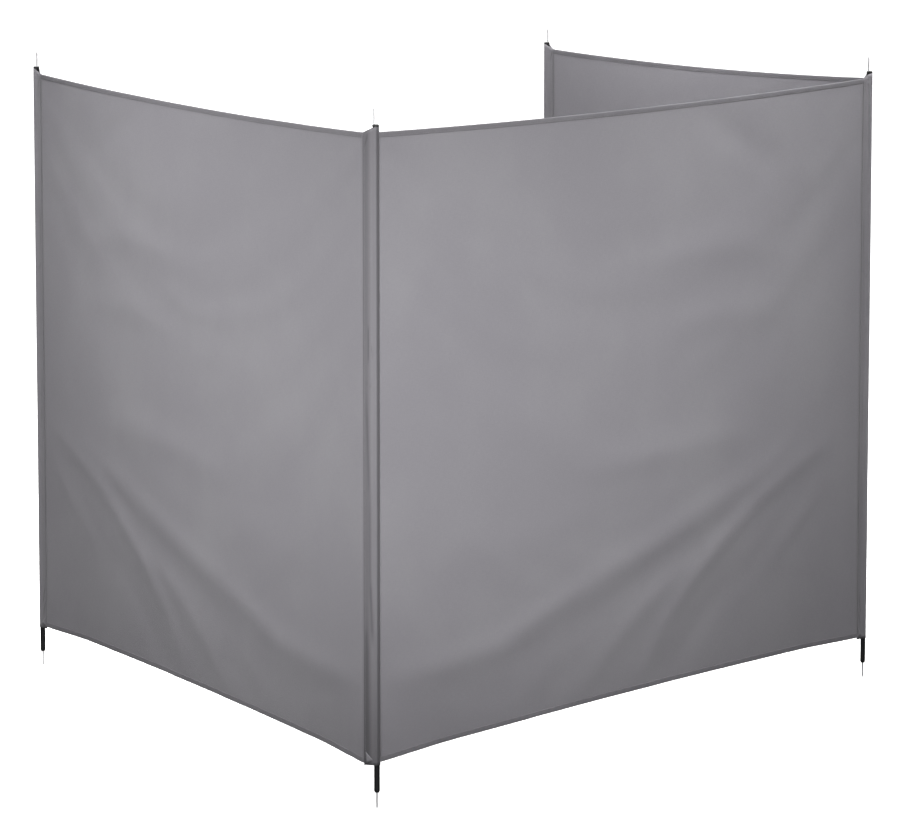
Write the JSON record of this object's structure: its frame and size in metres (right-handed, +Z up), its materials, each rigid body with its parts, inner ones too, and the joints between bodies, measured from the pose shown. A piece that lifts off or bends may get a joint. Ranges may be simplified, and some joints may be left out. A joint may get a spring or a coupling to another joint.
{
  "type": "beach windbreak",
  "caption": "Folding beach windbreak of grey cloth bays sewn between black tubular poles with ground spikes.",
  "frame": {"origin": "centre of the near corner pole's foot face, on the ground", "axes": "+Z up along the poles, +X along the middle bay from the near corner pole to the far one, +Y to the sheltered side"},
  "size_m": [2.2205, 1.7081, 1.542],
  "materials": {
    "pole_tube": "black satin coating on steel tube",
    "end_plastic": "moulded black plastic",
    "pin_steel": "bright zinc-plated steel wire",
    "pocket_cloth": "grey plain-weave polyester, doubled",
    "panel_cloth": "grey plain-weave polyester",
    "hem_cloth": "grey polyester turned over and stitched"
  },
  "bodies": {
    "middle_bay": {"pole_2": "pole_tube", "foot_plug_2": "end_plastic", "ground_spike_2": "pin_steel", "top_cap_2": "end_plastic", "top_pin_2": "pin_steel", "pole_3": "pole_tube", "foot_plug_3": "end_plastic", "ground_spike_3": "pin_steel", "top_cap_3": "end_plastic", "top_pin_3": "pin_steel", "pocket_3": "pocket_cloth", "panel_2": "panel_cloth", "top_hem_2": "hem_cloth", "bottom_hem_2": "hem_cloth"},
    "bay_1": {"pole_1": "pole_tube", "foot_plug_1": "end_plastic", "ground_spike_1": "pin_steel", "top_cap_1": "end_plastic", "top_pin_1": "pin_steel", "pocket_1": "pocket_cloth", "pocket_2": "pocket_cloth", "panel_1": "panel_cloth", "top_hem_1": "hem_cloth", "bottom_hem_1": "hem_cloth"},
    "bay_3": {"pole_4": "pole_tube", "foot_plug_4": "end_plastic", "ground_spike_4": "pin_steel", "top_cap_4": "end_plastic", "top_pin_4": "pin_steel", "pocket_4": "pocket_cloth", "panel_3": "panel_cloth", "top_hem_3": "hem_cloth", "bottom_hem_3": "hem_cloth"}
  },
  "joints": [
    {"name": "bay_1_fold", "type": "hinge", "parent": "middle_bay", "child": "bay_1", "pos_m": [0, 0, 0], "axis": [0, 0, -1], "range_deg": [-160, 64]},
    {"name": "bay_3_fold", "type": "hinge", "parent": "middle_bay", "child": "bay_3", "pos_m": [1.9, 0, 0], "axis": [0, 0, -1], "range_deg": [-40, 228]}
  ]
}
